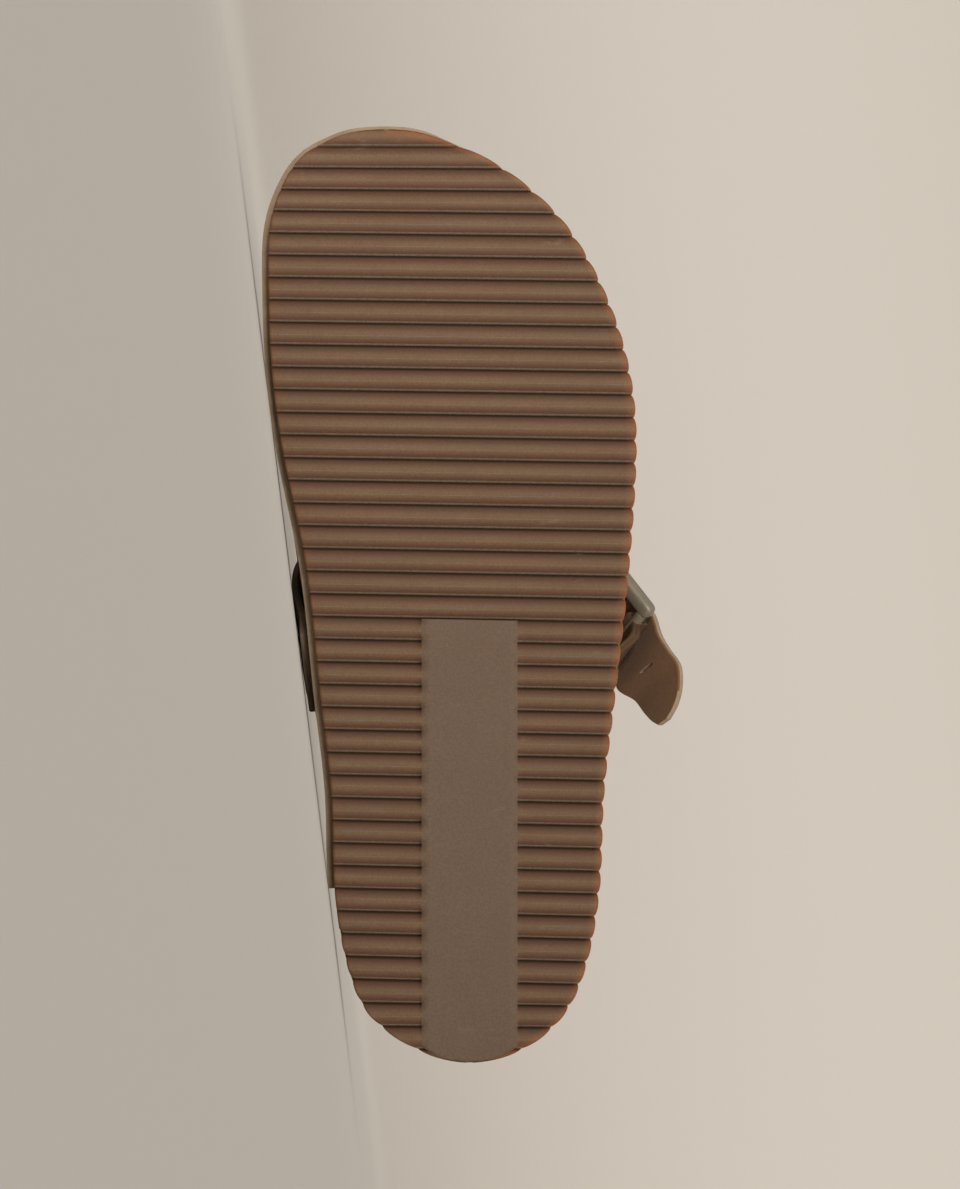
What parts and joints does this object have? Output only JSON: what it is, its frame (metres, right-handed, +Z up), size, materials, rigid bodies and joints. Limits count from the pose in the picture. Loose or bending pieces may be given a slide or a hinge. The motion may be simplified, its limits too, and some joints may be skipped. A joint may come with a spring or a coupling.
{
  "type": "leather clog",
  "caption": "Closed suede clog with open heel, cork footbed, ribbed gum outsole and buckled instep strap, lying on its inner side.",
  "frame": {"origin": "centre of the footprint, on the floor that the shoe lies on", "axes": "the shoe lies on its inner side: toe towards -X, tread facing -Y, outer side up along +Z"},
  "size_m": [0.2738, 0.0928, 0.1147],
  "materials": {
    "gum_rubber": "matt moulded gum rubber with cross ribs",
    "cork": "ground cork, sealed",
    "sock_suede": "smooth brushed suede",
    "suede": "taupe suede with a short nap",
    "buckle_metal": "matt khaki coating",
    "rivet_metal": "dark matt coating"
  },
  "bodies": {
    "root": {"outsole": "gum_rubber", "midsole": "cork", "insole": "sock_suede", "upper": "suede", "strap": "suede", "buckle_tab": "suede", "buckle_frame": "buckle_metal", "buckle_pin": "buckle_metal", "rivet_upper": "rivet_metal", "rivet_lower": "rivet_metal"}
  },
  "joints": []
}
